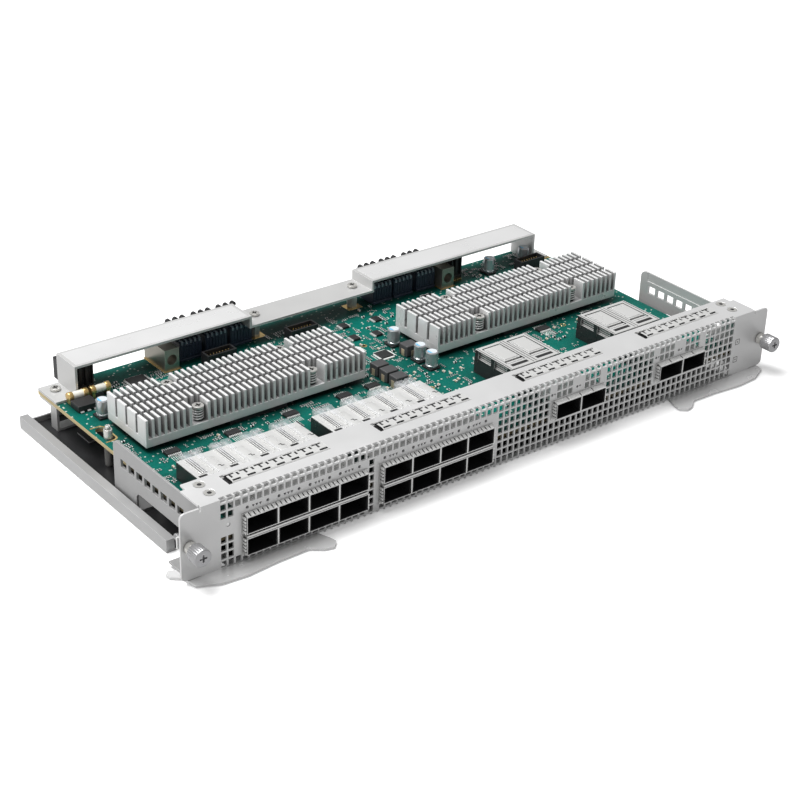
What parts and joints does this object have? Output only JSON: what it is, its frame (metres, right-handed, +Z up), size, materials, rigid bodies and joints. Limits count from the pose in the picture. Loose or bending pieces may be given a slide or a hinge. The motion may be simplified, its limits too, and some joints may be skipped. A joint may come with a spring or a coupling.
{
  "type": "switch line card",
  "caption": "Slide-in switch line card with rows of module ports, finned heat sinks, rear connectors and two ejector levers.",
  "frame": {"origin": "middle of the footprint, on the plane of the tray's underside", "axes": "+X to the right along the faceplate, +Y from the faceplate to the rear connectors, +Z up"},
  "size_m": [0.4448, 0.2272, 0.0442],
  "materials": {
    "bare_steel": "satin",
    "faceplate_metal": "brushed",
    "green_board": "solder mask",
    "sink_metal": "satin",
    "bright_screw": "plated",
    "spring_metal": "plated",
    "cage_metal": "plated",
    "black_plastic": "moulded",
    "navy_plastic": "moulded",
    "clear_plastic": "clear",
    "guide_metal": "cast",
    "can_metal": "drawn",
    "fuse_body": "glazed",
    "chip_black": "moulded",
    "lamp_body": "moulded"
  },
  "bodies": {
    "chassis": {"faceplate": "faceplate_metal", "base_tray": "bare_steel", "side_bracket_left": "bare_steel", "side_bracket_right": "bare_steel", "main_board": "green_board", "rear_stiffener": "bare_steel", "stiffener_posts": "bright_screw", "board_standoffs": "bright_screw", "rear_legs": "bare_steel", "stiffener_screws": "bright_screw", "flange_screws": "bright_screw", "guide_post": "bright_screw", "processors": "chip_black", "heat_sink_left": "sink_metal", "heat_sink_right": "sink_metal", "heat_sink_screws": "bright_screw", "cage_a_upper": "cage_metal", "cage_a_lower": "cage_metal", "cage_b_upper": "cage_metal", "cage_b_lower": "cage_metal", "cage_c": "cage_metal", "cage_d": "cage_metal", "collar_a": "spring_metal", "collar_b": "spring_metal", "collar_c": "spring_metal", "collar_d": "spring_metal", "light_pipes_a": "clear_plastic", "light_pipes_b": "clear_plastic", "riding_heat_sinks_c": "sink_metal", "riding_heat_sinks_d": "sink_metal", "heat_sink_clip_c": "cage_metal", "heat_sink_clip_d": "cage_metal", "module_sockets": "black_plastic", "lamps": "lamp_body", "contact_strip_1": "spring_metal", "contact_strip_2": "spring_metal", "contact_strip_3": "spring_metal", "contact_strip_4": "spring_metal", "ejector_rivets": "bright_screw", "captive_ferrules": "bright_screw", "backplane_sockets_left": "navy_plastic", "backplane_sockets_right": "navy_plastic", "guide_block_left": "guide_metal", "guide_block_right": "guide_metal", "power_socket_left": "black_plastic", "power_socket_right": "black_plastic", "capacitors": "can_metal", "inductors": "chip_black", "fuses": "fuse_body", "relay": "chip_black", "pin_headers": "black_plastic"},
    "ejector_arm_left": {"ejector_left": "bare_steel"},
    "ejector_arm_right": {"ejector_right": "bare_steel"},
    "screw_slide_left": {"captive_clip_left": "spring_metal"},
    "screw_slide_right": {"captive_clip_right": "spring_metal"},
    "screw_knob_left": {"captive_knob_left": "bright_screw"},
    "screw_knob_right": {"captive_knob_right": "bright_screw"}
  },
  "joints": [
    {"name": "ejector_left_turn", "type": "hinge", "parent": "chassis", "child": "ejector_arm_left", "pos_m": [-0.2074, -0.08785, 0.001], "axis": [0, 0, -1], "range_deg": [0, 75]},
    {"name": "ejector_right_turn", "type": "hinge", "parent": "chassis", "child": "ejector_arm_right", "pos_m": [0.2074, -0.08785, 0.001], "axis": [0, 0, 1], "range_deg": [0, 75]},
    {"name": "screw_left_slide", "type": "slide", "parent": "chassis", "child": "screw_slide_left", "axis": [0, -1, 0], "range_m": [0, 0.0045]},
    {"name": "screw_right_slide", "type": "slide", "parent": "chassis", "child": "screw_slide_right", "axis": [0, -1, 0], "range_m": [0, 0.0045]},
    {"name": "screw_left_spin", "type": "hinge", "parent": "screw_slide_left", "child": "screw_knob_left", "pos_m": [-0.2148, -0.10585, 0.0221], "axis": [0, 1, 0], "continuous": true},
    {"name": "screw_right_spin", "type": "hinge", "parent": "screw_slide_right", "child": "screw_knob_right", "pos_m": [0.2148, -0.10585, 0.0221], "axis": [0, 1, 0], "continuous": true}
  ]
}
